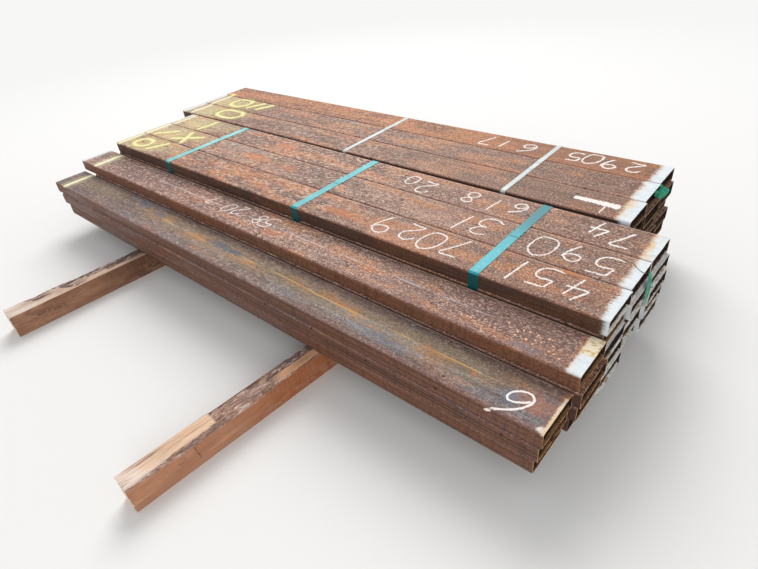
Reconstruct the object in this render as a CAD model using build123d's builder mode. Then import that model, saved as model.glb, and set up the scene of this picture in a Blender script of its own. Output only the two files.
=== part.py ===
from build123d import *

import os
from math import cos, radians, sin, tan

# Strapped and loose stack of rectangular steel tubing lying on two sawn timbers.
# Units are millimetres, +Z is up, tubes run along X, timbers run roughly along Y.

os.makedirs("parts", exist_ok=True)

# Tube section
tube_width = 152.4
tube_height = 50.8
tube_wall = 3.05
corner_outer = 8.0
corner_inner = corner_outer - tube_wall

# Tube lengths
stock_length = 2438.4
step_top_length = 2530.0
front_top_length = 2515.0
front_mid_length = 2480.0

# Clearances between pieces that rest against each other
side_clearance = 0.4
layer_clearance = 0.2

# Timbers
timber_height = 88.9
right_timber_width = 66.0
left_timber_width = 80.0
timber_skew = 4.0
wane_width = 13.0
wane_depth = 9.0
edge_break = 2.0
right_timber_near_y = -942.0
left_timber_near_y = -846.0
timber_far_y = 1030.0
right_timber_x = -741.0
left_timber_x = -1794.0

# Straps
strap_thickness = 0.9
strap_clearance = 0.3
strap_bend = 5.3
green_strap_width = 32.0
white_strap_width = 19.0
seal_length = 46.0
seal_thickness = 1.0
seal_lip = 1.6
seal_notch_width = 5.0
seal_notch_depth = 3.0

# Where the straps sit, in from their own bundle's right end, and where each seal is
# across the top, off the middle
green_right_in = 380.0
green_centre_in = 1127.0
green_left_in = 1968.0
white_right_in = 429.0
white_left_in = 1192.0
green_right_seal = 20.0
green_centre_seal = 14.0
green_left_seal = 30.0
white_right_seal = 60.0
white_left_seal = 75.0

# Where each group stands, measured from the middle bundle's front face and right end
step_gap = 6.0
front_gap = 4.0
rear_gap_right = 22.0
rear_right_end = -133.0
rear_skew = 0.38

# Pitch of the tubes in a bundle
column_pitch = tube_width + side_clearance
layer_pitch = tube_height + layer_clearance
bundle_columns = 3
bundle_layers = 5
bundle_width = bundle_columns * tube_width + (bundle_columns - 1) * side_clearance
bundle_height = bundle_layers * tube_height + (bundle_layers - 1) * layer_clearance

# How far each right end sticks out, bottom layer first, one list a column
middle_stagger = [
    [6.0, 2.0, 0.0, -8.0, 0.0],
    [-10.0, -4.0, -6.0, 6.0, -4.0],
    [2.0, 6.0, 9.0, 5.0, -4.0],
]
rear_stagger = [
    [9.0, -3.0, 12.0, 4.0, 7.0],
    [-6.0, 14.0, 2.0, 10.0, 0.0],
    [4.0, 8.0, -5.0, 6.0, -2.0],
]
step_stagger = [-6.0, 10.0, 16.0, 5.0]
front_stagger = [-17.0, -8.0, -3.0]
step_lengths = [stock_length, stock_length, stock_length, step_top_length]
front_lengths = [stock_length, front_mid_length, front_top_length]
step_shift = [2.0, 0.0, -1.5, 0.0]
front_shift = [0.0, -2.5, 0.0]

# Origin: middle of the whole stack's footprint, on the floor
rear_swing = 2 * column_pitch * sin(radians(rear_skew))
left_most = rear_right_end + rear_stagger[1][0] - rear_swing - stock_length
right_most = step_stagger[2]
timber_end_swing = right_timber_width / 2.0 * sin(radians(timber_skew))
near_most = right_timber_near_y - timber_end_swing
far_most = timber_far_y + left_timber_width / 2.0 * sin(radians(timber_skew))
origin_x = (left_most + right_most) / 2.0
origin_y = (near_most + far_most) / 2.0

# Faces that the groups seat on
deck = timber_height + layer_clearance
middle_y = -origin_y
step_y = middle_y - step_gap - tube_width
front_y = step_y - front_gap - tube_width
rear_y = middle_y + bundle_width + rear_gap_right
rear_x = rear_right_end - origin_x


def save(block, name):
    block.part.label = name
    export_step(block.part, f"parts/{name}.step")


def tube(name, right_end, front_face, underside, length, pivot=None, turn=0.0):
    # One straight hollow length, its right end, front face and underside given
    mid_y = front_face + tube_width / 2.0
    mid_z = underside + tube_height / 2.0
    start = Vector(right_end - length, mid_y, mid_z)
    run = Vector(1, 0, 0)
    if pivot is not None:
        arm = start - pivot
        a = radians(turn)
        run = Vector(cos(a), sin(a), 0)
        start = pivot + Vector(
            arm.X * cos(a) - arm.Y * sin(a), arm.X * sin(a) + arm.Y * cos(a), arm.Z
        )
    across = Vector(-run.Y, run.X, 0)
    section = Plane(origin=start, x_dir=across, z_dir=run)
    with BuildPart() as piece:
        with BuildSketch(section):
            RectangleRounded(tube_width, tube_height, corner_outer)
            RectangleRounded(
                tube_width - 2 * tube_wall,
                tube_height - 2 * tube_wall,
                corner_inner,
                mode=Mode.SUBTRACT,
            )
        extrude(amount=length)
    save(piece, name)


def strap(name, band_x, front_face, underside, width, seal_at, pivot=None, turn=0.0):
    # A flat band round a whole bundle with a crimped seal on its top run
    outer_w = bundle_width + 2 * (strap_clearance + strap_thickness)
    outer_h = bundle_height + 2 * (strap_clearance + strap_thickness)
    mid = Vector(
        band_x - width / 2.0,
        front_face + bundle_width / 2.0,
        underside + bundle_height / 2.0,
    )
    run = Vector(1, 0, 0)
    if pivot is not None:
        arm = mid - pivot
        a = radians(turn)
        run = Vector(cos(a), sin(a), 0)
        mid = pivot + Vector(
            arm.X * cos(a) - arm.Y * sin(a), arm.X * sin(a) + arm.Y * cos(a), arm.Z
        )
    across = Vector(-run.Y, run.X, 0)
    loop = Plane(origin=mid, x_dir=across, z_dir=run)
    top = outer_h / 2.0
    seal_plane = Plane(
        origin=mid + across * seal_at + run * (width / 2.0) + Vector(0, 0, top),
        x_dir=across,
        z_dir=Vector(0, 0, 1),
    )
    with BuildPart() as piece:
        with BuildSketch(loop) as band:
            Rectangle(outer_w, outer_h)
            chamfer(band.vertices(), length=strap_bend)
            offset(amount=-strap_thickness, kind=Kind.INTERSECTION, mode=Mode.SUBTRACT)
        extrude(amount=width)
        with BuildSketch(seal_plane.offset(-strap_thickness / 2.0)):
            Rectangle(seal_length, width + 2 * seal_lip)
            with Locations((-seal_length / 4.0, 0), (seal_length / 4.0, 0)):
                Rectangle(seal_notch_width, width + 4 * seal_lip, mode=Mode.SUBTRACT)
            Rectangle(seal_length, width + 2 * seal_lip - 2 * seal_notch_depth)
        extrude(amount=seal_thickness + strap_thickness / 2.0)
    save(piece, name)


def timber(name, mid_x, near_y, far_y, width, wane_side):
    # A sawn timber on the floor; one long top edge still has the round of the log
    lean = tan(radians(timber_skew))
    near = Vector(mid_x + near_y * lean, near_y, 0) - Vector(origin_x, origin_y, 0)
    run = Vector(sin(radians(timber_skew)), cos(radians(timber_skew)), 0)
    length = (far_y - near_y) / cos(radians(timber_skew))
    across = Vector(-run.Y, run.X, 0)
    half = width / 2.0
    top = timber_height
    side = wane_side
    with BuildPart() as piece:
        with BuildSketch(Plane(origin=near, x_dir=across, z_dir=run)):
            Polygon(
                (side * (half - edge_break), 0),
                (side * half, edge_break),
                (side * half, top - wane_depth),
                (side * (half - wane_width * 0.3), top - wane_depth * 0.35),
                (side * (half - wane_width), top),
                (-side * (half - edge_break), top),
                (-side * half, top - edge_break),
                (-side * half, edge_break),
                (-side * (half - edge_break), 0),
                align=None,
            )
        extrude(amount=length)
    save(piece, name)


# Timbers first, everything else stands on them
timber("timber_right", right_timber_x, right_timber_near_y, timber_far_y, right_timber_width, -1)
timber("timber_left", left_timber_x, left_timber_near_y, timber_far_y, left_timber_width, 1)

# Middle bundle, three columns of five
for column in range(bundle_columns):
    for layer in range(bundle_layers):
        tube(
            f"middle_tube_c{column + 1}_l{layer + 1}",
            middle_stagger[column][layer] - origin_x,
            middle_y + column * column_pitch,
            deck + layer * layer_pitch,
            stock_length,
        )

# Rear bundle, turned a little so that the gap closes towards the left end
rear_pivot = Vector(rear_x, rear_y, 0)
for column in range(bundle_columns):
    for layer in range(bundle_layers):
        tube(
            f"rear_tube_c{column + 1}_l{layer + 1}",
            rear_x + rear_stagger[column][layer],
            rear_y + column * column_pitch,
            deck + layer * layer_pitch,
            stock_length,
            rear_pivot,
            rear_skew,
        )

# Loose columns in front, one tube lower each
for layer in range(len(step_lengths)):
    tube(
        f"step_tube_l{layer + 1}",
        step_stagger[layer] - origin_x,
        step_y + step_shift[layer],
        deck + layer * layer_pitch,
        step_lengths[layer],
    )
for layer in range(len(front_lengths)):
    tube(
        f"front_tube_l{layer + 1}",
        front_stagger[layer] - origin_x,
        front_y + front_shift[layer],
        deck + layer * layer_pitch,
        front_lengths[layer],
    )

# Straps of the middle bundle, then of the rear bundle
for name, strap_in, seal_at in (
    ("right", green_right_in, green_right_seal),
    ("centre", green_centre_in, green_centre_seal),
    ("left", green_left_in, green_left_seal),
):
    strap(
        f"strap_green_{name}", -strap_in - origin_x, middle_y, deck, green_strap_width, seal_at
    )
for name, strap_in, seal_at in (
    ("right", white_right_in, white_right_seal),
    ("left", white_left_in, white_left_seal),
):
    strap(
        f"strap_white_{name}",
        rear_x - strap_in,
        rear_y,
        deck,
        white_strap_width,
        seal_at,
        rear_pivot,
        rear_skew,
    )
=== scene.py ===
"""Looks of a stack of rectangular steel tubing that lies rusting on two sawn timbers."""

import math

import bmesh
import bpy
from mathutils import Matrix, Vector, noise


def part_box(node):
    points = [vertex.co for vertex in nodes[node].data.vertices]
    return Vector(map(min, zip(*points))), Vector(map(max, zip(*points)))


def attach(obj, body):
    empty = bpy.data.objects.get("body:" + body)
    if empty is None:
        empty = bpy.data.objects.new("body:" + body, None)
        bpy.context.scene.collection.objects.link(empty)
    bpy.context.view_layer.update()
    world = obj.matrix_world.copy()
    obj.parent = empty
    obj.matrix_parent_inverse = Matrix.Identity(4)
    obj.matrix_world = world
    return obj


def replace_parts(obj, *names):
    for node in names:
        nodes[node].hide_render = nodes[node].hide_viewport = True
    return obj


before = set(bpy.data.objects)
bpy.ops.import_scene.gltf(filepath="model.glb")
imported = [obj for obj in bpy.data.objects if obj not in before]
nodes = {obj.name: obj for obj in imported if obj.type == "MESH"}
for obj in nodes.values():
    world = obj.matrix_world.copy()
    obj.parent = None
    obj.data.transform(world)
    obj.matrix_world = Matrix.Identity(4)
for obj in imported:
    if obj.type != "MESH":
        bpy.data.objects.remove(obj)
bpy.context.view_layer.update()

scene = bpy.context.scene

# Sizes that the solids were made to, in metres
TUBE_WIDTH = 0.1524
TUBE_HEIGHT = 0.0508
TUBE_WALL = 0.00305
TUBE_CORNER = 0.008
TIMBER_HEIGHT = 0.0889
RIGHT_TIMBER_WIDTH = 0.066
LEFT_TIMBER_WIDTH = 0.08
REAR_TURN = math.radians(0.38)
TIMBER_TURN = math.radians(4)

# The camera as it was worked out from the seams and ends in the photograph
CAMERA_PLACE = Vector((1.5573, -1.1021, 1.2138))
CAMERA_YAW, CAMERA_PITCH, CAMERA_ROLL = (math.radians(a) for a in (134.05, 35.74, 6.29))
CAMERA_FOCAL_PX = 536.8
PHOTO_WIDTH_PX = 758
SENSOR_WIDTH = 36


# ---------- materials


def paint(hex_colour):
    """An sRGB hex colour as Blender's linear RGBA."""
    parts = [int(hex_colour[i : i + 2], 16) / 255 for i in (1, 3, 5)]
    linear = [p / 12.92 if p <= 0.04045 else ((p + 0.055) / 1.055) ** 2.4 for p in parts]
    return (*linear, 1)


def add_node(kind, sockets, tree=None, **settings):
    """The outputs of one node with its settings and links. A socket takes a value or another node's output,
    which also tells the tree."""
    tree = tree or next(value for value in sockets.values() if isinstance(value, bpy.types.NodeSocket)).id_data
    made = tree.nodes.new("ShaderNode" + kind)
    for name, value in settings.items():
        setattr(made, name, value)
    for key, value in sockets.items():
        if isinstance(value, bpy.types.NodeSocket):
            tree.links.new(value, made.inputs[key])
        else:
            made.inputs[key].default_value = value
    return made.outputs


def new_finish(name):
    """A new material, and the coordinates that its patterns follow."""
    made = bpy.data.materials.new(name)
    made.use_nodes = True
    made.node_tree.nodes.clear()
    return made, add_node("TexCoord", {}, made.node_tree)


def coated(made, colour, roughness, more=None):
    """Gives a material its surface."""
    sockets = {"Base Color": colour, "Roughness": roughness, **(more or {})}
    add_node("OutputMaterial", {"Surface": add_node("BsdfPrincipled", sockets, made.node_tree)[0]})
    return made


def product(first, *masks):
    """All masks multiplied together; a plain number scales them."""
    for mask in masks:
        first = add_node("Math", {0: first, 1: mask}, operation="MULTIPLY")[0]
    return first


def total(first, *values):
    """All values added up."""
    for value in values:
        first = add_node("Math", {0: first, 1: value}, operation="ADD")[0]
    return first


def away(value, place):
    """How far a value is from a place, to either side."""
    off = add_node("Math", {0: value, 1: place}, operation="SUBTRACT")[0]
    return add_node("Math", {0: off}, operation="ABSOLUTE")[0]


def ramp(value, low, high):
    """0 where value is low, 1 where it is high, smooth between."""
    sockets = {"Value": value, "From Min": low, "From Max": high}
    return add_node("MapRange", sockets, interpolation_type="SMOOTHSTEP")[0]


def grain(where, size, low, high, detail=3, shift=0, distortion=0):
    """A mask from 0 to 1 out of noise. size is the length of a blotch along x, y and z, or with two values
    along x and along both others."""
    place = (shift * 1.7, shift * 2.3 + 0.4, shift * 0.9)
    scale = tuple(1 / s for s in (*size, size[-1])[:3])
    spread = add_node("Mapping", {"Vector": where, "Location": place, "Scale": scale})
    cloud = add_node("TexNoise", {"Vector": spread[0], "Scale": 1, "Detail": detail, "Distortion": distortion})
    return ramp(cloud["Fac"], low, high)


def spots(where, cell, radius, share, shift=0):
    """A mask of round spots of mixed sizes, one in a share of the cells of a plane."""
    place = (shift * 1.3, shift * 0.7, 0)
    spread = add_node("Mapping", {"Vector": where, "Location": place, "Scale": (1 / cell, 1 / cell, 1)})
    dots = add_node("TexVoronoi", {"Vector": spread[0], "Scale": 1}, voronoi_dimensions="2D")
    draw = add_node("SeparateColor", {0: dots["Color"]})
    reach = add_node("MapRange", {"Value": draw[1], "To Min": 0.35 * radius / cell, "To Max": radius / cell})[0]
    nearness = add_node("Math", {0: dots["Distance"], 1: reach}, operation="DIVIDE")[0]
    return product(ramp(nearness, 1.25, 0.7), ramp(draw[0], 1 - share, 1.01 - share))


def coats(ground, layers, palette=None):
    """Colour of a ground with coats laid on it in turn, each a colour and the masks that bound it. The
    colour can be the name of one in the palette."""
    for shade, *masks in layers:
        mask = product(*masks)
        shade = paint((palette or {}).get(shade, shade))
        ground = add_node("Mix", {0: mask, 6: ground, 7: shade}, data_type="RGBA")[2]
    return ground


class TubeSkin:
    """A tube's surface as node outputs: where a point is on the tube, and which face it is on."""

    def __init__(self, spot, node, turn, seed):
        untwist = Matrix.Rotation(-turn, 4, "Z")
        corners = [untwist @ v.co for v in nodes[node].data.vertices]
        low, high = (Vector([pick(p[i] for p in corners) for i in range(3)]) for pick in (min, max))
        self.seed = seed
        self.length = high.x - low.x
        # along runs from 0 at the painted right end to minus the length, across from the near face, up from below
        place = (-high.x, -low.y, -low.z)
        self.seat = add_node("Mapping", {"Vector": spot["Object"], "Rotation": (0, 0, -turn), "Location": place})[0]
        self.along, self.across, self.up = add_node("SeparateXYZ", {0: self.seat})
        self.closeness = ramp(self.along, -1.9, -0.2)
        facing = add_node("SeparateXYZ", {0: spot["Normal"]})
        outer, inner = TUBE_WALL * 0.8, TUBE_WALL * 0.95
        self.inside = product(
            ramp(self.up, outer, inner), ramp(self.up, TUBE_HEIGHT - outer, TUBE_HEIGHT - inner),
            ramp(self.across, outer, inner), ramp(self.across, TUBE_WIDTH - outer, TUBE_WIDTH - inner))
        self.outside = add_node("Math", {0: 1, 1: self.inside}, operation="SUBTRACT")[0]
        self.top = ramp(facing["Z"], 0.3, 0.9)
        self.upright = ramp(facing["Z"], 0.7, 0.2)
        self.near = ramp(facing["Y"], -0.4, -0.9)
        self.sawn = ramp(away(facing["X"], 0), 0.6, 0.9)
        # The top and the near face laid out flat; 0 is the corner between them
        self.round = total(self.across, self.up, -TUBE_HEIGHT)
        self.flat = add_node("CombineXYZ", {0: self.along, 1: self.round, 2: 0})[0]

    def grain(self, size, low, high, shift, detail=4, distortion=0):
        return grain(self.seat, size, low, high, detail, self.seed + shift, distortion)

    def grit(self, size, low, high, shift):
        """Grains a few millimetres across at the right end. Further along they are drawn nearly three times
        as coarse, because there the real ones are finer than a render can show."""
        fine, coarse = (self.grain([scale * s for s in size], low, high, shift + jump, 3)
                        for scale, jump in ((0.8, 0), (2.2, 0.5)))
        return total(product(fine, ramp(self.closeness, 0, 0.6)), product(coarse, ramp(self.closeness, 1, 0.4)))


def rusted(skin, tone):
    """Colour, relief and roughness of mill scale that breaks into brown and orange rust: wide blotches,
    patches of grey scale left, sandy grains and dark soot over them, drawn out along the sides, with painted
    sheen and highlights on the tops and upper edges and painted shade on the sides and at the foot."""
    blotch = skin.grain((0.4, 0.1, 0.09), 0.36, 0.64, 1, 5, 0.4)
    scale = skin.grain((0.3, 0.055, 0.05), tone["scale_at"], tone["scale_at"] + 0.13, 3, 6, 0.5)
    orange = product(skin.grain((0.26, 0.06, 0.05), tone["orange_at"], tone["orange_at"] + 0.15, 5, 6, 0.4),
                     ramp(skin.along, 0.7, -0.7))
    bruise = skin.grain((0.075, 0.026), 0.46, 0.66, 27, 5, 0.3)
    mottle = skin.grit((0.02, 0.009), 0.46, 0.58, 28)
    sand = skin.grit((0.008, 0.0052), 0.5, 0.61, 7)
    dust = skin.grit((0.0088, 0.005), 0.51, 0.62, 9)
    cluster = skin.grain((0.09, 0.035), 0.36, 0.62, 29)
    soot = skin.grit((0.009, 0.0056), 0.5, 0.62, 11)
    crumb = skin.grain((0.0052, 0.0042), 0.38, 0.7, 13, 2)
    streaks = skin.grain((0.9, 0.008), 0.45, 0.64, 15, 3)
    hair = skin.grain((0.35, 0.003), 0.48, 0.76, 17, 2)
    # Pale powder on the tops, growing towards the left end: dust, and painted sheen that brightens the far tops
    dust_and_sheen = product(skin.grain((0.2, 0.06, 0.05), 0.25, 0.72, 19, 6), ramp(skin.along, 1.4, -1.6))
    mill_line = skin.grain((1.7, 0.005), 0.48, 0.6, 21, 2)
    drips = skin.grain((0.012, 0.02, 0.1), 0.48, 0.7, 25, 3)
    pits = spots(skin.flat, 0.105, 0.006, 0.3, skin.seed)
    # Painted highlight with some pinkish dust along the rounded edge between the top and the near face
    near_edge_highlight = product(ramp(away(skin.round, 0.003), 0.015, 0.006),
                          skin.grain((0.05, 0.02), 0.2, 0.55, 23))
    # Painted highlight: a light line along the far upper edge
    far_edge_highlight = product(ramp(away(skin.across, TUBE_WIDTH - 0.0065), 0.005, 0.0015),
                         skin.grain((0.12, 0.02), 0.3, 0.55, 24), skin.top)
    # Painted shade at the foot of each tube, where its lower rounding turns down into the seam below
    foot_shade = ramp(skin.up, TUBE_CORNER * 1.2, TUBE_CORNER * 0.2)
    colour = coats(paint(tone["rust"]), [
        ("powder", dust_and_sheen, skin.top, tone["dust"]),
        ("deep", blotch, 0.85),
        ("bruise", bruise, 0.45),
        # Painted shade: the tops darker towards the right end, away from the painted sheen further left
        ("deep", skin.top, ramp(skin.along, -0.7, -0.15), 0.38),
        ("dark", mottle, tone["mottle"]),
        ("deep", streaks, 0.5),
        ("scale", scale, 0.88),
        ("orange", orange, 0.7),
        ("corner", near_edge_highlight, 0.65),
        # The sides take their own darker tone, deepened as painted shade; sheer says how much
        ("side", skin.upright, tone["sheer"]),
        ("line", skin.upright, mill_line, tone["lined"]),
        ("line", skin.upright, drips, 0.4),
        ("dark", soot, ramp(skin.top, -0.8, 1), tone["soot"]),
        ("spark", sand, ramp(orange, -0.06, 0.7), ramp(skin.top, -0.3, 1), 0.85),
        ("speck", dust, skin.top, ramp(cluster, -1.2, 1), tone["grit"]),
        ("powder", hair, ramp(skin.top, -0.6, 1), 0.4),
        ("speck", far_edge_highlight, 0.55),
        ("dark", crumb, 0.5),
        ("#2a1c15", foot_shade, 0.55),
        ("#1d1412", pits, 0.9),
    ], tone)
    relief = total(product(crumb, -0.45), product(sand, 0.8), product(pits, -1.6))
    roughness = add_node("MapRange", {"Value": total(crumb, product(scale, -1)), "From Min": -1, "From Max": 1,
                                      "To Min": 0.42, "To Max": 0.78})[0]
    return colour, relief, roughness


def dry_brushed(skin, width, tooth, soft=0.009):
    """Paint dragged on from the right end: how far a point is inside its border, and its cover. Bristle
    marks and fine specks thin it out over the last few millimetres."""
    reach = total(
        skin.along,
        width - tooth * 1.1,
        product(skin.grain((0.05, 0.0045), 0.25, 0.75, 31, 2), tooth * 0.75),
        product(skin.grain((0.4, 0.032), 0.2, 0.8, 33, 2), tooth * 0.7),
        product(skin.grain((0.006, 0.0035), 0.25, 0.75, 35, 2), tooth * 0.9),
    )
    return reach, ramp(reach, -soft, soft * 0.8)


# Colour and cover of the paint inside a bore, of the rust that stains it, and of the sawn ring round it
BORES = {
    "white": ("#fffbf2", 1, "#c7a468", "#f0eadc"),
    "ochre": ("#9b7148", 0.85, "#80502a", "#d3a56e"),
    "dark": ("#75614a", 0.7, "#7a5126", "#a98558"),
}


def end_paint(skin, colour, width, bore, side=0, cream=0, fringe=0, tooth=0.01, bare_far=None, cream_far=None,
              depth=0.0066):
    """White shop paint on the right end, bluish where thick and creamy where rust has bled through it,
    with a rusty fringe past its border, and some of it on the floor of the bore."""
    reach, cover = dry_brushed(skin, width, tooth, 0.004 if cream_far else min(0.009, width * 0.35))
    bled = product(skin.grain((0.02, 0.045), 0.42, 0.62, 39), cream)
    thin = skin.grain((0.03, 0.012), 0.46, 0.7, 41, 3)
    layers = []
    if fringe:
        layers.append(("#ad6a37", ramp(reach, -0.015, -0.002), skin.top, skin.outside,
                       skin.grain((0.01, 0.014), 0.34, 0.6, 37), fringe))
    if width:
        mask = product(cover, skin.top, skin.outside)
        if bare_far:
            # The far part was hardly painted
            mask = product(mask, ramp(skin.across, bare_far + 0.004, bare_far - 0.004))
        layers += [("#d9dfe1", mask), ("#b3c1ca", mask, thin, 0.45), ("#dcb578", mask, bled, ramp(reach, 0.034, 0.01))]
        if cream_far:
            # Beyond a place across the tube the rust has soaked through all of it
            soaked = product(mask, ramp(skin.across, cream_far - 0.006, cream_far + 0.004))
            layers += [("#e3d3ad", soaked, 0.8),
                       ("#b9813f", soaked, skin.grain((0.016, 0.008), 0.5, 0.62, 49), 0.8)]
        layers.append(("#d8ad72", mask, ramp(reach, 0.012, 0), min(1, cream + 0.15)))
    if side:
        layers.append(("#d3dadd", dry_brushed(skin, side, 0.005)[1], skin.near, skin.outside))
    # Some of the paint went onto the floor of the bore, just inside the mouth
    paintwork, cover, stained, edge = BORES[bore]
    floor = product(skin.inside, skin.top, dry_brushed(skin, depth, 0.0022, 0.0022)[1])
    # The sawn ring is bright on a fresh edge: rust on bare ends, paint on painted ones
    ring = product(skin.sawn, ramp(skin.along, -0.01, -0.001))
    return coats(colour, layers + [
        (paintwork, floor, skin.grain((0.03, 0.014), 0.28, 0.42, 43), cover),
        (stained, floor, skin.grain((0.03, 0.028), 0.48, 0.6, 45), 0.85),
        (edge, ring),
        ("#7d4e2c", ring, skin.grain((0.02, 0.02), 0.44, 0.6, 47, 3)),
    ])


def crossed(skin, colour, lines):
    """Lines sprayed across the top: how far in from the left end, half the width and the paint of each."""
    layers = []
    for inset, half, (shade, far) in lines:
        ragged = product(skin.grain((0.007, 0.007), 0.2, 0.8, 51, 3), half * 0.5)
        off = total(away(skin.along, inset - skin.length), ragged)
        lying = product(skin.top, skin.outside, ramp(skin.across, far + 0.006, far - 0.006))
        thin = ramp(skin.grain((0.02, 0.03), 0.25, 0.45, 53, 3), -0.6, 0.8)
        layers += [(shade, ramp(off, half * 1.25, half * 0.55), lying, thin),
                   (shade, ramp(off, half * 3.5, half * 0.8), lying, 0.28)]
    return coats(colour, layers)


def run_off(skin, colour, middle, half, start, end):
    """A long yellow run of rust where water stood along the top, with sandy orange beside it."""
    wander = product(skin.grain((0.7, 0.5), 0.25, 0.75, 55, 1), 0.018)
    off = away(total(skin.across, wander), middle + 0.009)
    stretch = product(skin.top, ramp(skin.along, start - 0.2, start + 0.15),
                      ramp(skin.along, end + 0.02, end - 0.1))
    return coats(colour, [
        ("#8f7b52", stretch, ramp(off, half * 2.2, half), 0.3),
        ("#b0713c", stretch, ramp(off, half * 1.6, half * 0.3), skin.grain((0.16, 0.05), 0.46, 0.6, 57),
         skin.grain((0.009, 0.007), 0.36, 0.56, 59, 3), 0.75),
        ("#c49a55", stretch, ramp(off, 0.006, 0.0015), skin.grain((0.14, 0.006), 0.42, 0.58, 61, 3), 0.8),
    ])


def marked(skin, colour, patches):
    """Single patches of the top seen in the photograph: place, size, colour and strength."""
    layers = []
    for x, y, length, width, shade, strength in patches:
        frayed = product(skin.grain((0.03, 0.012), 0.2, 0.8, 63), 0.9)
        squared = [add_node("Math", {0: product(away(axis, place), 2 / size), 1: 2}, operation="POWER")[0]
                   for axis, place, size in ((skin.along, x, length), (skin.across, y, width))]
        spread = ramp(total(*squared, frayed), 1.5, 0.45)
        layers.append((shade, spread, skin.top, strength))
    return coats(colour, layers)


def bloomed(skin, colour, low, high, share, start):
    """Small blooms of fresh rust, cream at the heart, in a band along the top."""
    band = product(skin.top, ramp(skin.across, low - 0.01, low + 0.01),
                   ramp(skin.across, high + 0.012, high - 0.012), ramp(skin.along, start - 0.3, start),
                   skin.grain((0.16, 0.035, 0.05), 0.42, 0.56, 65))
    wide, heart = (product(band, spots(skin.flat, 0.017, radius, share, skin.seed)) for radius in (0.0058, 0.0034))
    return coats(colour, [("#bd7a4c", wide, 0.55), ("#e6bd9c", heart)])


def scribed(skin, colour, place, start, end):
    """A thin pale scribed line along the top that wavers a little."""
    sway = product(skin.grain((0.9, 0.5), 0.2, 0.8, 67, 1), 0.012)
    return coats(colour, [("#b7b3b4", ramp(away(total(skin.across, sway), place + 0.006), 0.0036, 0.001), skin.top,
                           ramp(skin.along, start - 0.02, start), ramp(skin.along, end, end - 0.02),
                           skin.grain((0.22, 0.01), 0.44, 0.56, 69, 3), 0.8)])


def rolled_steel(name, node, tone, turn=0, seed=0, ends=None, lines=(), streak=None, patches=(),
                 blooms=None, scratch=None):
    """Hot-rolled steel tube left outdoors: dry brown rust on top, streaked along its length, with brushed
    white paint on the right end and sprayed lines near the left."""
    made, spot = new_finish(name)
    skin = TubeSkin(spot, node, turn, seed)
    colour, relief, roughness = rusted(skin, tone)
    if streak:
        colour = run_off(skin, colour, *streak)
    colour = marked(skin, colour, patches)
    if blooms:
        colour = bloomed(skin, colour, *blooms)
    if scratch:
        colour = scribed(skin, colour, *scratch)
    # Inside the bore it is dark brown with loose rust, darkened as painted shade: blacker deeper in and on the upright
    # walls
    loose = skin.grain((0.08, 0.03), 0.45, 0.62, 71)
    bore_depth_shade = product(ramp(skin.along, -0.02, -0.2), ramp(skin.along, 0.02 - skin.length, 0.2 - skin.length))
    colour = coats(colour, [
        ("#2c1e18", skin.inside),
        ("#5a3822", skin.inside, loose, 0.5),
        ("#140e0c", skin.inside, bore_depth_shade, 0.85),
        ("#1c1411", skin.inside, skin.upright, 0.6),
        ("#7c5236", skin.sawn),
    ])
    colour = crossed(skin, colour, lines)
    if ends:
        colour = end_paint(skin, colour, **ends)
    bump = add_node("Bump", {"Height": relief, "Strength": 0.6, "Distance": 0.0011})
    return coated(made, colour, roughness, {"Normal": bump[0], "Specular IOR Level": 0.36})


# Tones of the tubes, each read off its own tube
RED_BROWN = dict(
    rust="#9f7059", deep="#73503f", orange="#b4713f", scale="#71645f", powder="#cda186", bruise="#7b615b",
    spark="#d08a56", speck="#dcb8a2", dark="#3d2920", corner="#9c6e60", side="#38231a", line="#221713", scale_at=0.58,
    orange_at=0.49, dust=0.75, soot=0.68, grit=0.74, mottle=0.38, lined=0.35, sheer=0.82)
ORANGE_BROWN = dict(RED_BROWN, rust="#a26d50", orange="#bd7540", orange_at=0.45, powder="#c4967a")
PINK_BROWN = dict(
    RED_BROWN, rust="#9a7262", deep="#735349", powder="#b79284", orange_at=0.53, side="#895533", line="#40271b",
    corner="#a77a6c", bruise="#7c6660", sheer=0.7, mottle=0.16)
GREY_BROWN = dict(
    rust="#8c6d5d", deep="#604d46", orange="#9a6c49", scale="#666569", powder="#a88d7e", bruise="#6f645f",
    spark="#b67d4e", speck="#bda597", dark="#3a2c28", corner="#8d6058", side="#7d4c30", line="#33221a", scale_at=0.5,
    orange_at=0.56, dust=0.5, soot=0.45, grit=0.45, mottle=0.22, lined=0.75, sheer=0.88)
REAR_BROWN = dict(RED_BROWN, rust="#966a53", powder="#c29679", speck="#d0aa91")
RUST_RED = dict(
    RED_BROWN, rust="#a2623f", deep="#86502f", orange="#b86d38", powder="#ba7a4e", speck="#cf9a72", bruise="#8a5c44",
    scale_at=0.7, orange_at=0.42)
# The lower tubes, of which mostly the sides show, are darker, as painted shade
SHADED_SIDE_BROWN = dict(
    RED_BROWN, rust="#81594a", deep="#56392d", orange="#955c37", scale="#584c47", powder="#96715f", dust=0.3,
    mottle=0.2, lined=0.6, sheer=0.55)
FRONT_SIDE = dict(GREY_BROWN, rust="#845f50", deep="#5f463c", orange="#9c6a42", lined=0.8, sheer=0.8)

WHITE_END = dict(width=0.032, bore="white")
DARK_END = dict(WHITE_END, bore="dark")
LOWER_END = dict(width=0.024, side=0.012, cream=0.4)
LOWER_BARE_END = dict(LOWER_END, width=0, side=0)
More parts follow.
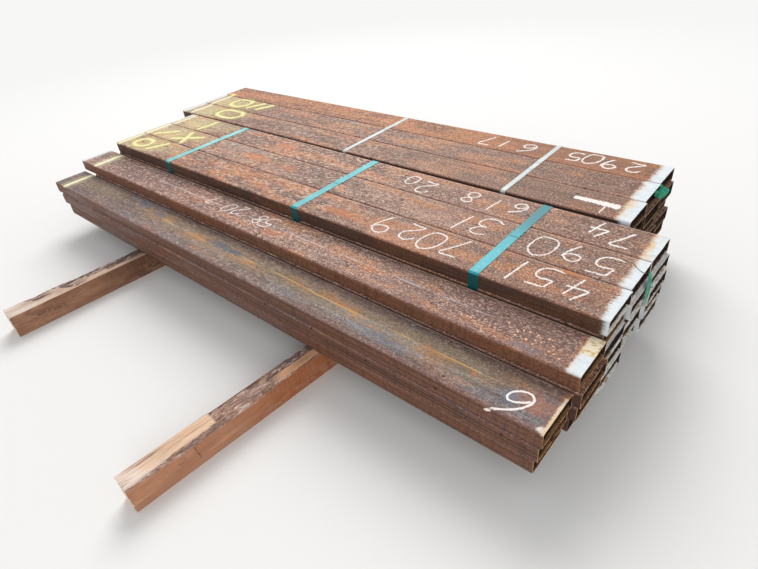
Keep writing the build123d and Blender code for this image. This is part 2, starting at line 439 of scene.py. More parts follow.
# Sprayed lines: colour, and how far across the tube they go
CREAM, CHALK_WHITE, YELLOW = ("#e6dfb4", 0.16), ("#dcdcd6", 0.16), ("#e9e08f", 0.03)
OVERSPRAY = ((-2.27, 0.07, 0.34, 0.22, "#dccb94", 0.52), (-2.08, 0.1, 0.3, 0.16, "#cdb98a", 0.34))
TOP_TUBES = {
    "front_tube_l3": dict(
        tone=GREY_BROWN, lines=((0.09, 0.017, CREAM),), streak=(0.085, 0.024, -1.75, -0.12),
        ends=dict(width=0.0062, bore="ochre", cream=0.6, fringe=0.4, tooth=0.003, bare_far=0.125),
        patches=((-1.875, 0.113, 0.13, 0.045, "#4c5560", 0.75), (-1.73, 0.099, 0.14, 0.04, "#505761", 0.6),
                 (-1.3, 0.09, 0.2, 0.045, "#4c5560", 0.75), (-1.21, 0.09, 0.1, 0.03, "#48515c", 0.6),
                 (-0.48, 0.04, 0.3, 0.05, "#67696e", 0.6), (-0.11, 0.055, 0.06, 0.06, "#5d6470", 0.8),
                 (-0.05, 0.075, 0.12, 0.08, "#a5613c", 0.55), (-0.22, 0.07, 0.02, 0.018, "#b2602f", 0.8),
                 (-2.2, 0.1, 0.5, 0.12, "#8d7a55", 0.35), (-0.006, 0.012, 0.034, 0.022, "#e6e2dc", 1))),
    "step_tube_l4": dict(
        tone=PINK_BROWN, lines=((0.135, 0.02, CREAM), (0.008, 0.015, CHALK_WHITE)),
        ends=dict(width=0.035, bore="ochre", cream=0.1, fringe=0.9, tooth=0.005, cream_far=0.078),
        blooms=(0.025, 0.085, 0.85, -1.45), scratch=(0.082, -1.98, -0.27),
        patches=((-0.15, 0.02, 0.11, 0.035, "#77727c", 0.5), (-1.15, 0.045, 0.12, 0.05, "#b5693a", 0.5),
                 (-0.95, 0.075, 0.1, 0.04, "#b96f3f", 0.4), (-0.7, 0.06, 0.08, 0.05, "#bb7242", 0.4))),
    "middle_tube_c1_l5": dict(
        tone=ORANGE_BROWN, lines=((0.018, 0.017, CREAM),),
        ends=dict(WHITE_END, width=0.022, side=0.011, fringe=0.35, tooth=0.012),
        patches=OVERSPRAY + ((-0.155, 0.14, 0.13, 0.02, "#bd7233", 0.85),
                             (-0.93, 0.06, 0.22, 0.06, "#bf7039", 0.6), (-1.37, 0.05, 0.16, 0.05, "#bb6d3a", 0.5))),
    "middle_tube_c2_l5": dict(
        tone=dict(RED_BROWN, rust="#ad7a5f", powder="#dbb093", dust=0.9), lines=((0.022, 0.019, CREAM),),
        ends=dict(WHITE_END, width=0.031, cream=0.15, fringe=0.6, depth=0.002),
        patches=OVERSPRAY + ((-1.62, 0.08, 0.22, 0.07, "#c8793f", 0.6), (-1.4, 0.07, 0.14, 0.06, "#c17440", 0.5))),
    "middle_tube_c3_l5": dict(
        tone=RED_BROWN, lines=((0.008, 0.01, CHALK_WHITE), (0.038, 0.011, CREAM)),
        ends=dict(WHITE_END, cream=0.6, fringe=1, depth=0.0026),
        patches=OVERSPRAY + ((-1.6, 0.08, 0.18, 0.06, "#c3763f", 0.5),)),
    "rear_tube_c1_l5": dict(
        tone=REAR_BROWN, lines=((0.016, 0.015, CHALK_WHITE), (0.078, 0.012, CREAM)),
        ends=dict(DARK_END, width=0.043, side=0.03, cream=0.55, fringe=0.8, tooth=0.014), patches=OVERSPRAY),
    "rear_tube_c2_l5": dict(
        tone=dict(REAR_BROWN, rust="#8c6350", powder="#bb927a"),
        lines=((0.014, 0.013, CHALK_WHITE), (0.062, 0.012, CREAM)),
        ends=dict(DARK_END, width=0.046, cream=0.2, fringe=0.6, tooth=0.014), patches=OVERSPRAY),
    "rear_tube_c3_l5": dict(
        tone=RUST_RED, lines=((0.05, 0.022, YELLOW),),
        ends=dict(DARK_END, width=0.036, cream=0.1, fringe=0.3, tooth=0.014),
        patches=((-0.3, 0.08, 0.7, 0.22, "#7d5a48", 0.45),)),
}
UNPAINTED = "step_tube_l1"


def lower_tube(node, count):
    """The finish of a tube of which only its side or its end shows."""
    group = node.split("_tube_")[0]
    look = dict(tone=FRONT_SIDE if group == "front" else SHADED_SIDE_BROWN)
    if node != UNPAINTED:
        ochre = group in ("front", "step") or node == "middle_tube_c1_l4"
        bore = "dark" if group == "rear" else "ochre" if ochre else "white"
        # The paint went in farther in some tubes than in others
        depth = 0.0012 + 0.0054 * (count * 0.618 % 1)
        look["ends"] = dict(LOWER_END if bore == "white" else LOWER_BARE_END, bore=bore, depth=depth)
    return look


for count, node in enumerate(sorted(n for n in nodes if "_tube_" in n)):
    look = TOP_TUBES.get(node) or lower_tube(node, count)
    turn = REAR_TURN if node.startswith("rear") else 0
    finish = rolled_steel("hot_rolled_steel_" + node.replace("_tube", ""), node, turn=turn, seed=count * 3.7, **look)
    nodes[node].data.materials[0] = finish


def strap_enamel(name, side, top, chip, roughness, deep=None):
    """Steel strapping with a thin baked coat: deep and glossy on its sides, lighter on top with painted sheen
    and some dust, scuffed in places."""
    made, spot = new_finish(name)
    lying = ramp(add_node("SeparateXYZ", {0: spot["Normal"]})["Z"], 0.4, 0.9)
    place = spot["Object"]
    scuff = grain(place, (0.02, 0.03), 0.6, 0.72, 5, 2)
    dust_and_sheen = grain(place, (0.3, 0.11, 0.09), 0.3, 0.7, 4, 5)
    # The lying faces take the lighter top colours: painted sheen and some dust
    layers = [(top[0], lying), (top[1], lying, dust_and_sheen), (chip, lying, scuff, 0.5)]
    if deep:
        # Darker on top from one place across the bundle on
        layers.append(("#0d6a70", lying, ramp(add_node("SeparateXYZ", {0: place})["Y"], deep, deep + 0.24), 0.85))
    return coated(made, coats(paint(side), layers), roughness, {"Specular IOR Level": 0.28})


# The green top is the lighter the further left its strap lies
STRAP_FINISHES = {
    "strap_green_right": strap_enamel("baked_green_strap_enamel", "#0a5052", ("#33a9b2", "#1d929a"), "#7cc0c2", 0.42,
                                      0.1),
    "strap_green_centre": strap_enamel("faded_green_strap_enamel", "#0a5052", ("#49b3b8", "#319aa0"), "#93ccca", 0.42),
    "strap_green_left": strap_enamel("chalky_green_strap_enamel", "#0c5658", ("#8dccc9", "#66b3b0"), "#b5dcd6", 0.46),
    "strap_white": strap_enamel("pale_zinc_strap_coat", "#9aa3a1", ("#cfd5d2", "#b9c0bd"), "#94907f", 0.46),
}
for node in nodes:
    for start, finish in STRAP_FINISHES.items():
        if node.startswith(start):
            nodes[node].data.materials[0] = finish


def weathered_softwood(name, near_end, tones, knots, crack, seed):
    """Rough-sawn softwood left in the weather: its top bleached towards the end and yellower inwards, its
    sides still brown and darker inwards as painted shade, grain that runs the length of it, knots, and flaky
    mauve-grey bark on the log's round."""
    made, spot = new_finish(name)
    # along runs from 0 at the near end, up from the floor
    start = Matrix.Rotation(TIMBER_TURN, 3, "Z") @ near_end
    lane = add_node("Mapping", {"Vector": spot["Object"], "Rotation": (0, 0, TIMBER_TURN),
                                "Location": tuple(-start)})[0]
    across, along, up = add_node("SeparateXYZ", {0: lane})
    facing = add_node("SeparateXYZ", {0: spot["Normal"]})
    top = ramp(facing["Z"], 0.45, 0.75)
    butt = ramp(away(facing["Y"], 0), 0.6, 0.85)
    bark = add_node("Attribute", {}, made.node_tree, attribute_name="bark")["Fac"]
    rings = grain(lane, (0.006, 0.34, 0.006), 0.36, 0.64, 3, seed + 1, 0.5)
    fibre = grain(lane, (0.0022, 0.07, 0.0022), 0.42, 0.66, 2, seed + 2)
    check = grain(lane, (0.0028, 0.12, 0.0028), 0.57, 0.66, 2, seed + 6)
    cloud = grain(lane, (0.05, 0.16, 0.04), 0.38, 0.66, 4, seed + 3)
    flake = grain(lane, (0.01, 0.026, 0.01), 0.44, 0.58, 5, seed + 4, 0.8)
    scrap = grain(lane, (0.0045, 0.012, 0.0045), 0.44, 0.6, 4, seed + 8)
    soil = grain(lane, (0.03, 0.06, 0.03), 0.46, 0.58, 4, seed + 10)
    saw = grain(lane, (0.05, 0.0032, 0.07), 0.44, 0.64, 2, seed + 14)
    dirt = grain(lane, (0.02, 0.034, 0.014), 0.44, 0.62, 5, seed + 16, 0.6)
    old = grain(lane, (0.012, 0.085, 0.012), 0.44, 0.56, 4, seed + 18, 0.5)
    drift = total(along, product(cloud, 0.1))
    layers = [
        ("side_deep", cloud),
        # Painted shade: the sides darker further in, where the stack's shadow falls
        ("side_inner", ramp(along, 0.25, 0.5)),
        ("ring", rings, 0.4),
        ("fibre", fibre, 0.35),
        ("dusty", saw, 0.3),
        ("ring", dirt, tones["soiled"]),
        ("dusty", dirt, ramp(up, 0.085, 0.005), 0.45),
    ]
    for place, height, size in knots:
        # Grain that sweeps round a knot, with its dark heart
        squared = [product(off, off) for off in (product(away(along, place), 0.55), away(up, height))]
        off = add_node("Math", {0: total(*squared), 1: 0.5}, operation="POWER")[0]
        phase = total(product(off, 620), product(cloud, 5), product(rings, 2))
        wave = add_node("Math", {0: phase}, operation="SINE")[0]
        layers += [("knot", ramp(off, size, size * 0.3), ramp(wave, -0.5, 0.9), ramp(dirt, -0.6, 0.8),
                    ramp(scrap, -0.8, 0.7), 0.6),
                   ("knot", ramp(off, size * 0.22, size * 0.04), ramp(scrap, -0.4, 0.8), 0.55)]
    if crack:
        sway = product(grain(lane, (0.02, 0.02), 0.3, 0.7, 2, 12), 0.006)
        split = ramp(away(total(along, sway), crack + 0.003), 0.0016, 0.0006)
        layers.append(("#4a3023", split, ramp(up, 0.018, 0.03), 0.85))
    layers += [
        ("bleached", top),
        ("top_inner", top, ramp(drift, 0.05, 0.3)),
        ("top_last", top, ramp(along, 0.42, 0.5)),
        ("top_deep", top, cloud, 0.45),
        ("top_ring", top, rings, 0.4),
        ("#7d675b", top, check, 0.8),
        ("bleached", butt, 0.7),
        ("bark", bark),
        ("bark_light", bark, soil, 0.8),
        ("#54412f", bark, old, tones["aged"]),
        ("#594740", bark, ramp(drift, 0.42, 0.58), 0.8),
        ("#b79a8e", bark, flake, ramp(old, 1.1, 0), 0.7),
        ("#4d3b34", bark, ramp(flake, 0.5, 0.1), scrap, 0.65),
        ("#dac4b7", bark, ramp(flake, 0.6, 1), scrap, ramp(old, 1.3, 0.2), 0.9),
    ]
    colour = coats(paint(tones["side"]), layers, tones)
    relief = total(rings, fibre, product(check, -1.4), product(bark, flake, 2.2), product(bark, scrap, 1.4))
    bump = add_node("Bump", {"Height": relief, "Strength": 0.6, "Distance": 0.0013})
    return coated(made, colour, 0.85, {"Normal": bump[0]})


# ---------- pieces


def linked(name, data):
    """A new object of the scene."""
    made = bpy.data.objects.new(name, data)
    scene.collection.objects.link(made)
    return made


def meshed(name, mesh_data, material):
    """Turns a bmesh into an object of the scene."""
    mesh = bpy.data.meshes.new(name)
    mesh_data.to_mesh(mesh)
    mesh_data.free()
    mesh.materials.append(material)
    return linked(name, mesh)


def finished(name, mesh_data, material):
    """Turns a bmesh into a piece of the scene that rides on the stack."""
    piece = meshed(name, mesh_data, material)
    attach(piece, "root")
    return piece


def bark_terraces(across, along, up, seed):
    """Depth of torn bark in metres: ragged flakes that lie along the log, in steps."""
    warp = 0.25 * noise.noise(Vector((across * 90, along * 40, seed)))
    cloud = noise.noise(Vector((across * 75 + warp, along * 24 + warp, up * 75 + seed)))
    fine = noise.noise(Vector((across * 260, along * 110, seed + up * 200)))
    return 0.0013 * (math.floor((cloud + 1) * 3.2) / 3.2 - 0.9) + 0.0006 * fine


def strip_width(strip, along):
    """The width of torn bark at a place, between the widths that strip gives."""
    for (place, wide), (after, wide_after) in zip(strip, strip[1:]):
        if place <= along < after:
            return wide + (wide_after - wide) * (along - place) / (after - place)
    return strip[-1][1]


def sawn_timber(node, width, wane_side, strip, torn, seed):
    """A rough-sawn timber: a finely divided block whose faces waver and whose near end is splintered.
    strip gives the width of torn bark along one top edge from place to place; torn gives stretches of the
    top where bark lies, as (start, end, depth, from where and to where across, how far its start slants)."""
    low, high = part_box(node)
    length = (high.y - low.y - width * math.sin(TIMBER_TURN)) / math.cos(TIMBER_TURN)
    block = bmesh.new()
    bmesh.ops.create_cube(block, size=1)
    for axis, cuts in ((1, 420), (0, 21), (2, 19)):
        spans = [(e, e.verts[0].co - e.verts[1].co) for e in block.edges]
        edges = [e for e, span in spans if 1e-6 < abs(span[axis]) > span.length - 1e-6]
        bmesh.ops.subdivide_edges(block, edges=edges, cuts=cuts, use_grid_fill=True)
    bark = block.verts.layers.float.new("bark")
    for v in block.verts:
        # Rows stand closer together over the near third, which shows
        share = v.co.y + 0.5
        along = (0.62 * share + 0.38 * share ** 2) * length
        across, up = v.co.x * width, (v.co.z + 0.5) * TIMBER_HEIGHT
        inward = across * wane_side
        tear = strip_width(strip, along) + 0.0035 * noise.noise(Vector((along * 12, seed, 0))) \
            + 0.003 * noise.noise(Vector((along * 60, seed, 3)))
        # Torn edge: everything beyond a slanted line is broken back to it
        corner = (inward + width / 2) + (up - TIMBER_HEIGHT) * 1.35 - width + tear
        barked = 0
        if corner > 0 and up > TIMBER_HEIGHT * 0.55:
            across -= wane_side * corner * 0.3
            up -= corner * 0.34
            barked = min(1, corner / 0.002)
        elif v.co.z > 0.4999:
            for start, end, depth, near, far, slant in torn:
                fray = 0.007 * noise.noise(Vector((along * 22, seed, 7)))
                begins = start - slant * inward + slant * fray
                inside = max(0, min(1, (along - begins) / 0.003, (end - along) / 0.05,
                                      (far + fray - inward) / 0.004, (inward - near - fray) / 0.004))
                up -= depth * inside
                barked = max(barked, inside)
        v[bark] = barked
        if barked:
            lift = bark_terraces(across, along, up, seed) * barked
            up += min(lift, TIMBER_HEIGHT - up)
            across += wane_side * min(lift, 0) * (0.6 if corner > 0 else 0)
        rough = 0.0006 * noise.noise(Vector((across * 160, along * 22 + seed, up * 160)))
        side = v.co.x * 2
        if abs(side) > 0.999:
            across -= abs(rough) * side + 0.0004 * side
        if v.co.z > 0.4999:
            up -= abs(rough) * 1.2
        if abs(v.co.y) > 0.4999:
            fray = 0.004 * noise.noise(Vector((across * 210, seed, up * 120)))
            along -= math.copysign(abs(fray), v.co.y) * 1.3
        v.co = Vector((across, along, max(up, 0)))
    block.transform(Matrix.Rotation(-TIMBER_TURN, 4, "Z"))
    near_end = Vector([low[i] - min(v.co[i] for v in block.verts) for i in (0, 1)] + [0])
    block.transform(Matrix.Translation(near_end))
    return block, near_end


RIGHT_WOOD = dict(
    side="#cf946f", side_deep="#b67b59", side_inner="#a65822", ring="#97603f", fibre="#966345", knot="#6b4632",
    bleached="#ecdacb", top_inner="#e8c5a4", top_deep="#d6a983", top_ring="#bb9374", top_last="#d99d70",
    dusty="#b48e76", soiled=0.25, bark="#a98679", bark_light="#bb8f75", aged=0.45)
LEFT_WOOD = dict(
    side="#b48465", side_deep="#93664a", side_inner="#59321b", ring="#7a523a", fibre="#7b563f", knot="#5c3c2c",
    bleached="#eedccb", top_inner="#d3b59c", top_deep="#a58571", top_ring="#9c7d69", top_last="#c2a186",
    dusty="#a07d66", soiled=0.55, bark="#80685c", bark_light="#9a7a66", aged=0.9)
RIGHT_STRIP = (
    (0, 0.004), (0.1, 0.01), (0.2, 0.015), (0.27, 0.016), (0.4, 0.015), (0.48, 0.005), (0.6, 0.003), (2.1, 0.014))
LEFT_STRIP = (
    (0, 0.004), (0.08, 0.005), (0.12, 0.014), (0.16, 0.005), (0.22, 0.008), (0.26, 0.016), (0.4, 0.014), (0.5, 0.012),
    (0.6, 0.014), (2.1, 0.014))
RIGHT_TORN = ((0.27, 0.5, 0.0065, -0.1, 0.03, 0), (0.4, 0.7, 0.003, -0.1, 0, 0))
LEFT_TORN = ((0.105, 0.175, 0.0024, -0.002, 0.1, 0.9), (0.21, 0.3, 0.0034, -0.032, 0.1, 1.1),
             (0.3, 0.42, 0.0028, -0.006, 0.1, 1.1), (0.37, 0.66, 0.0034, -0.016, 0.1, 1.1))
for node, width, wane_side, strip, torn, tones, knots, crack, slot, seed in (
    ("timber_right", RIGHT_TIMBER_WIDTH, 1, RIGHT_STRIP, RIGHT_TORN, RIGHT_WOOD, ((0.147, 0.054, 0.014),), 0.193,
     "timber_wood", 2),
    ("timber_left", LEFT_TIMBER_WIDTH, -1, LEFT_STRIP, LEFT_TORN, LEFT_WOOD,
     ((0.1, 0.054, 0.04), (0.155, 0.044, 0.034)), 0, "timber_wood_grey", 9),
):
    block, near_end = sawn_timber(node, width, wane_side, strip, torn, seed)
    wood = weathered_softwood("rough_sawn_softwood_" + node.split("_")[1], near_end, tones, knots, crack, seed)
    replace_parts(finished(node + "_sawn", block, wood), node)


# Hand-drawn figures, in hundredths of their height; each stroke is the control points of one smooth line
FIGURES = {
    "0": [[(35, 100), (2, 92), (-2, 10), (30, -3), (66, 5), (68, 95), (30, 103)]],
    "1": [[(30, 102), (25, 50), (18, -2)]],
    "2": [[(3, 76), (15, 108), (62, 105), (68, 62), (25, 30), (0, 0), (30, 8), (72, -2)]],
    "3": [[(5, 90), (30, 110), (70, 90), (50, 55), (25, 52), (70, 50), (70, 0), (25, -8), (0, 12)]],
    "4": [[(25, 100), (10, 60), (0, 38), (30, 40), (70, 42)], [(52, 85), (46, 30), (42, -10)]],
    "5": [[(10, 100), (8, 75), (5, 55), (60, 68), (72, 20), (40, -5), (0, 6)], [(10, 100), (40, 100), (66, 104)]],
    "6": [[(60, 105), (10, 80), (-5, 20), (30, -8), (68, 12), (55, 50), (20, 45), (5, 20)]],
    "7": [[(0, 98), (30, 100), (66, 102), (40, 50), (25, -2)]],
    "8": [[(62, 85), (40, 110), (5, 95), (10, 65), (60, 40), (65, 5), (30, -8), (0, 12),
           (10, 42), (55, 65), (68, 90)]],
    "9": [[(60, 80), (35, 108), (2, 85), (15, 55), (55, 60), (64, 92), (60, 40), (42, 0)]],
}


def dry_mark(name, colour, cover, soft, grit=0.0055, broken=0.9):
    """Chalk or spray on rough rust: flat, thin at its borders and broken where the steel dips. The bands
    carry an attribute that falls from 1 in their middle to 0 at their borders."""
    made, spot = new_finish(name)
    middle = add_node("Attribute", {}, made.node_tree, attribute_name="middle")["Fac"]
    gap = product(grain(spot["Object"], (grit, grit), 0.3, 0.7, 3, 4), -broken)
    held = ramp(total(middle, gap, cover), 0.5 - soft, 0.5 + soft)
    return coated(made, paint(colour), 0.9, {"Alpha": product(held, min(1, 0.35 + cover))})


def curve_mesh(name, strokes, order, bevel=0):
    """A mesh along smooth strokes, each the control points of one line: bare lines, or round wire with a bevel."""
    line = bpy.data.curves.new(name + "_line", "CURVE")
    line.dimensions = "3D"
    line.resolution_u = 12
    if bevel:
        line.bevel_depth, line.bevel_resolution, line.use_fill_caps = bevel, 2, True
    for stroke in strokes:
        spline = line.splines.new("NURBS")
        spline.points.add(len(stroke) - 1)
        for point, place in zip(spline.points, stroke):
            point.co = (*place, 1)
        spline.order_u = order
        spline.use_endpoint_u = True
    holder = linked(name + "_line", line)
    mesh = bpy.data.meshes.new_from_object(holder.evaluated_get(bpy.context.evaluated_depsgraph_get()))
    bpy.data.objects.remove(holder)
    return mesh


def seam_drop(y, edges):
    """How far a tube's rounded upper corner falls away at y, for tubes side by side from edges[0]."""
    for edge in edges:
        for side in (y - edge, edge + TUBE_WIDTH - y):
            if 0 <= side < TUBE_CORNER:
                return TUBE_CORNER - math.sqrt(TUBE_CORNER ** 2 - (TUBE_CORNER - side) ** 2)
    return 0 if any(e <= y <= e + TUBE_WIDTH for e in edges) else TUBE_CORNER


def drawn(name, strokes, x, y, top, height, width, material, slant=0, lie=Matrix.Identity(3), lift=0):
    """A mark that lies on the tops of tubes: flat bands along smooth strokes, wider where pressed."""
    place = Vector((x, y, top[0] + lift))
    path = curve_mesh(name, [[lie @ Vector(((a + b * slant) * height, b * height, 0)) for a, b in stroke]
                             for stroke in strokes], 3)
    goes_on = {e.vertices[0] for e in path.edges}
    smooth = [[]]
    for count, point in enumerate(path.vertices):
        smooth[-1].append(point.co.copy())
        if count not in goes_on:
            smooth.append([])
    bpy.data.meshes.remove(path)
    mark = bmesh.new()
    middle = mark.verts.layers.float.new("middle")
    for layer, line in enumerate(smooth[:-1]):
        # A flat strip, bent along the stroke
        last = len(line) - 1
        strip = bmesh.ops.create_grid(mark, x_segments=4, y_segments=last, size=0.5)
        for vert in strip["verts"]:
            count = round((vert.co.y + 0.5) * last)
            step = vert.co.x
            run = (line[min(count + 1, last)] - line[max(count - 1, 0)]).normalized()
            press = 1 + 0.35 * noise.noise(line[count] * 45 + Vector((count * 0.01, x * 7, 0)))
            vert.co = place + line[count] + Vector((run.y, -run.x, 0)) * step * width * press
            vert.co.z += 0.00025 + (count + 40 * layer) * 1e-6 - seam_drop(vert.co.y, top[1])
            vert[middle] = 0 if count in (0, last) else 1 - 2 * abs(step)
    return finished(name, mark, material)


# Written by someone at the far side: their right is the object's left, their up is towards the front
FROM_FAR_SIDE = Matrix(((-1, 0, 0), (0, -1, 0), (0, 0, 1)))


def numbered(name, figures, x, y, top, step, height, width, material, slant=0.1):
    """A row of plain figures written from the far side, so that they run towards the left end."""
    for count, figure in enumerate(figures):
        if figure != " ":
            jog = 0.007 * math.sin(count * 2.4 + x * 9)
            size = height * (1 + 0.12 * math.sin(count * 3.9 + x * 5))
            strokes = [[(a / 100, b / 100) for a, b in stroke] for stroke in FIGURES[figure]]
            drawn(f"chalk_{name}_{count + 1}", strokes, x - count * step, y + jog, top, size, width, material,
                  slant + 0.09 * math.sin(count * 1.7 + x * 11), FROM_FAR_SIDE)


white_chalk = dry_mark("dry_white_chalk", "#f6ece3", 0.5, 0.22, 0.0055, 0.75)
faint_chalk = dry_mark("faint_white_chalk", "#e2d0c4", 0.26, 0.25, 0.0055, 0.8)
thick_marker = dry_mark("thick_white_paint_marker", "#f4ebe2", 0.55, 0.16, 0.007, 0.45)
yellow_spray = dry_mark("yellow_marking_spray", "#efe7a6", 0.52, 0.34, 0.004, 0.6)
yellow_mist = dry_mark("yellow_spray_mist", "#c6ba76", 0.16, 0.6, 0.004, 0.6)
# How high the top of each group is, and the near edges of the tubes side by side there
MIDDLE, REAR, STEP, FRONT = (
    (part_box(tubes[0])[1].z, [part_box(n)[0].y for n in tubes])
    for tubes in (*([f"{group}_tube_c{c}_l5" for c in (1, 2, 3)] for group in ("middle", "rear")),
                  ["step_tube_l4"], ["front_tube_l3"]))

numbered("middle_near", "451 7029", 1.205, 0.085, MIDDLE, 0.092, 0.098, 0.0096, white_chalk)
numbered("middle_centre", "590 31", 1.225, 0.232, MIDDLE, 0.095, 0.096, 0.009, white_chalk)
numbered("middle_far_end", "74", 1.215, 0.384, MIDDLE, 0.085, 0.092, 0.0115, white_chalk)
numbered("middle_far", "618 20", 0.855, 0.372, MIDDLE, 0.088, 0.075, 0.01, white_chalk)
numbered("rear_far_end", "2905", 1.06, 0.862, REAR, 0.074, 0.084, 0.0125, white_chalk)
numbered("rear_far", "6 17", 0.65, 0.85, REAR, 0.06, 0.082, 0.012, white_chalk)
numbered("rear_centre", "4", 1.055, 0.69, REAR, 0.06, 0.035, 0.0055, faint_chalk)
numbered("rear_small", "30", 0.69, 0.52, REAR, 0.055, 0.04, 0.0055, faint_chalk)
numbered("step", "58 20 7", 0.12, -0.085, STEP, 0.06, 0.062, 0.0072, white_chalk, 0.25)
numbered("middle_small", "52", -0.565, 0.06, MIDDLE, 0.045, 0.04, 0.005, faint_chalk)
numbered("middle_faint", "30", -0.56, 0.38, MIDDLE, 0.055, 0.06, 0.006, faint_chalk)
numbered("front", "6", 1.228, -0.262, FRONT, 0.1, 0.092, 0.0072, thick_marker, 0.35)

# A plain painted bar with a thin stroke across it
drawn("bar_rear", [[(0, 0), (0.5, 0.005), (1, 0)]], 0.943, 0.512, REAR, 0.155, 0.034, thick_marker)
drawn("stroke_rear", [[(0, 1), (0.02, 0.5), (-0.03, 0)]], 1.054, 0.448, REAR, 0.052, 0.0085, white_chalk)


def ring_of(long, wide):
    """The control points of one closed loop."""
    turn = [(1, 0), (0.9, 0.75), (0, 1.05), (-0.9, 0.75), (-1, 0), (-0.9, -0.75), (0, -1.05), (0.9, -0.75),
            (1, 0.05)]
    return [(long * a, wide * b) for a, b in turn]


# Rings, bars and a cross sprayed in yellow near the left end, each a hard core in a wider mist
SPRAYED = {
    "ring_near": (MIDDLE, -1.02, 0.03, [ring_of(0.052, 0.04)]),
    "bar_near": (MIDDLE, -0.93, -0.015, [[(0, 0), (0.03, 0.05), (0.052, 0.105)]]),
    "bar_centre": (MIDDLE, -1.09, 0.125, [[(0, 0), (0.05, 0.045), (0.105, 0.09)]]),
    "cross_centre": (MIDDLE, -0.94, 0.12, [
        [(0, 0.01), (0.08, 0.052), (0.16, 0.105)], [(0.03, 0.12), (0.072, 0.06), (0.11, -0.01)]]),
    "stem_far": (MIDDLE, -0.925, 0.27, [[(0, 0), (0.018, 0.06), (0.012, 0.125)]]),
    "ring_far": (REAR, -0.96, 0.508, [ring_of(0.088, 0.052)]),
    "ring_rear": (REAR, -1.055, 0.66, [ring_of(0.062, 0.056)]),
    "bar_rear_near": (REAR, -0.96, 0.61, [[(0, 0), (0.02, 0.055), (0.05, 0.11)]]),
    "bar_rear_far": (REAR, -0.885, 0.615, [[(0, 0), (0.02, 0.055), (0.045, 0.105)]]),
}
for mark, (top, x, y, strokes) in SPRAYED.items():
    drawn("spray_mist_" + mark, strokes, x, y, top, 1, 0.095, yellow_mist)
    drawn("spray_" + mark, strokes, x, y, top, 1, 0.036, yellow_spray, lift=0.0003)


def hung_tag(name, rows, across, creased, material):
    """A blank crumpled sheet that hangs from where it is tied. rows gives its middle and its width from
    the top down."""
    sheet = bmesh.new()
    bmesh.ops.create_grid(sheet, x_segments=10, y_segments=6 * (len(rows) - 1), size=0.5)
    for v in sheet.verts:
        down = (0.5 - v.co.y) * (len(rows) - 1)
        count = min(int(down), len(rows) - 2)
        (upper, wide), (lower, narrow) = rows[count], rows[count + 1]
        half = v.co.x * (wide + (narrow - wide) * (down - count))
        spot = Vector(upper).lerp(Vector(lower), down - count) + across * half
        crease = creased * (noise.noise(spot * 48) + 0.3 * noise.noise(spot * 160))
        v.co = spot + Vector((crease, 0, 0))
    bmesh.ops.solidify(sheet, geom=sheet.faces, thickness=0.0005)
    bmesh.ops.recalc_face_normals(sheet, faces=sheet.faces)
    return finished(name, sheet, material)


# Thin plastic sheet, deep green, with paler patches
green_sheet, spot = new_finish("green_tag_sheet")
paler_patches = grain(spot["Object"], (0.012, 0.012, 0.022), 0.38, 0.66, 4, 3)
coated(green_sheet, coats(paint("#08694f"), [("#35a081", paler_patches, 0.8)]), 0.5, {"Specular IOR Level": 0.25})
END, REAR_END = (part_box(f"{group}_tube_c2_l5")[1].x for group in ("middle", "rear"))
hung_tag("tag_middle", [
    ((END + 0.009, 0.219, 0.337), 0.01), ((END + 0.0125, 0.217, 0.317), 0.027), ((END + 0.015, 0.215, 0.29), 0.035),
    ((END + 0.015, 0.218, 0.262), 0.028), ((END + 0.014, 0.226, 0.228), 0.007),
], Vector((0.1, 0.995, 0)), 0.002, green_sheet)
# Its upper corner is caught on the end of its tube
hung_tag("tag_rear", [
    ((REAR_END + 0.0005, 0.739, 0.343), 0.005), ((REAR_END + 0.006, 0.736, 0.334), 0.018),
    ((REAR_END + 0.01, 0.731, 0.325), 0.05), ((REAR_END + 0.01, 0.728, 0.312), 0.056),
    ((REAR_END + 0.011, 0.732, 0.302), 0.03), ((REAR_END + 0.0145, 0.739, 0.2915), 0.007),
], Vector((0.6, 0.8, 0)), 0.0045, green_sheet)


# Soft tie wire, bare metal with a dull grey-brown skin
annealed_wire = coated(new_finish("dull_annealed_wire")[0], paint("#5b514c"), 0.55, {"Metallic": 1})
# The wire that the middle bundle's tag hangs from, bent over the end of its tube
wire_line = [(-0.035, 0.223, 0.3448), (-0.022, 0.208, 0.3449), (-0.008, 0.198, 0.345), (0.001, 0.196, 0.3454),
             (0.005, 0.203, 0.341), (0.007, 0.213, 0.336), (0.0085, 0.219, 0.335)]
round_wire = curve_mesh("tie_wire", [[(END + x, y, z) for x, y, z in wire_line]], 4, 0.0007)
wire = bmesh.new()
wire.from_mesh(round_wire)
bpy.data.meshes.remove(round_wire)
bmesh.ops.remove_doubles(wire, verts=wire.verts, dist=1e-6)
bmesh.ops.recalc_face_normals(wire, faces=wire.faces)
finished("tag_tie_wire", wire, annealed_wire)


# ---------- stage, light and camera


def seen_rays(tree):
    """1 for the rays that show a background: the camera's own, and those that glossy or clear things pass on."""
    rays = add_node("LightPath", {}, tree)
    return ramp(total(rays["Is Camera Ray"], rays["Is Glossy Ray"], rays["Is Transmission Ray"]), 0, 1)


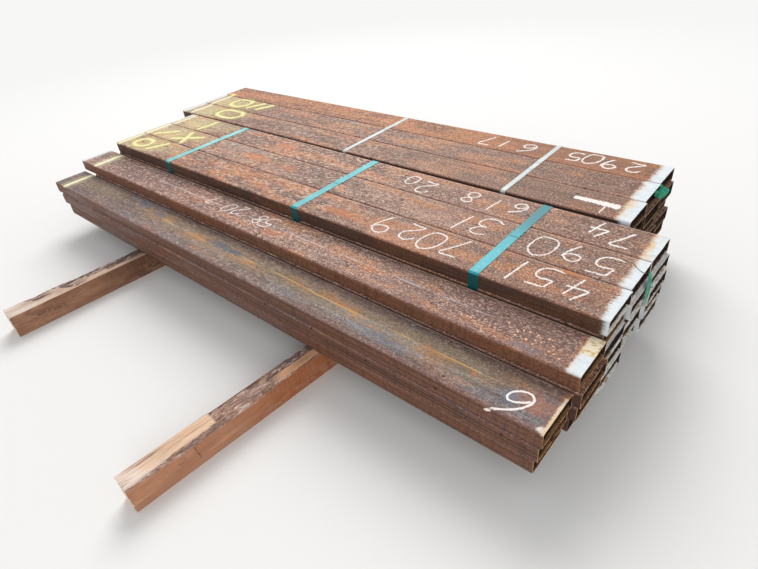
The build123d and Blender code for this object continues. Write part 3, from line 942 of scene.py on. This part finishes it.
# Matt and pale under the stack, where it takes the shadow, and lit by itself to full white farther off
pale_floor, spot = new_finish("pale_matt_floor")
floor_tree = pale_floor.node_tree
off_middle = add_node("VectorMath", {0: spot["Object"]}, operation="LENGTH")["Value"]
far_off = product(ramp(off_middle, 1.4, 5.5), seen_rays(floor_tree))
matt = add_node("BsdfPrincipled", {"Base Color": paint("#e3e1dd"), "Roughness": 0.95}, floor_tree)
glow = add_node("Emission", {"Color": paint("#f7f7f6"), "Strength": 1}, floor_tree)
add_node("OutputMaterial", {"Surface": add_node("MixShader", {0: far_off, 1: matt[0], 2: glow[0]})[0]})
floor_mesh = bmesh.new()
bmesh.ops.create_grid(floor_mesh, x_segments=1, y_segments=1, size=40)
meshed("studio_floor", floor_mesh, pale_floor)

world = bpy.data.worlds.new("soft_sky")
scene.world = world
world.use_nodes = True
sky = world.node_tree.nodes["Background"]
sky.inputs["Color"].default_value = (0.93, 0.95, 1, 1)
# Full white where it is looked at, a plain level as light
sky_level = add_node("MapRange", {"Value": seen_rays(world.node_tree), "To Min": 0.6, "To Max": 0.94})
world.node_tree.links.new(sky_level[0], sky.inputs["Strength"])


def soft_lamp(name, place, target, size, power):
    """A square soft box that points at a spot."""
    data = bpy.data.lights.new(name, "AREA")
    data.shape = "SQUARE"
    data.size = size
    data.energy = power
    aim = (Vector(target) - Vector(place)).to_track_quat("-Z", "Y")
    linked(name, data).matrix_world = Matrix.Translation(place) @ aim.to_matrix().to_4x4()


soft_lamp("key_soft_box", (-6.8, 8.4, 10.8), (0, 0.1, 0.2), 10, 2050)
soft_lamp("fill_soft_box", (6.3, -5.1, 3.6), (0.3, 0, 0.2), 4.5, 245)

camera_data = bpy.data.cameras.new("photo_camera")
camera_data.sensor_width = SENSOR_WIDTH
camera_data.lens = CAMERA_FOCAL_PX / PHOTO_WIDTH_PX * SENSOR_WIDTH
camera_data.clip_start = 0.02
camera = linked("photo_camera", camera_data)
# A camera unturned looks straight down
camera.matrix_world = (Matrix.Translation(CAMERA_PLACE) @ Matrix.Rotation(CAMERA_YAW - math.pi / 2, 4, "Z")
                       @ Matrix.Rotation(math.pi / 2 - CAMERA_PITCH, 4, "X") @ Matrix.Rotation(-CAMERA_ROLL, 4, "Z"))
scene.camera = camera

scene.view_settings.view_transform = "Standard"
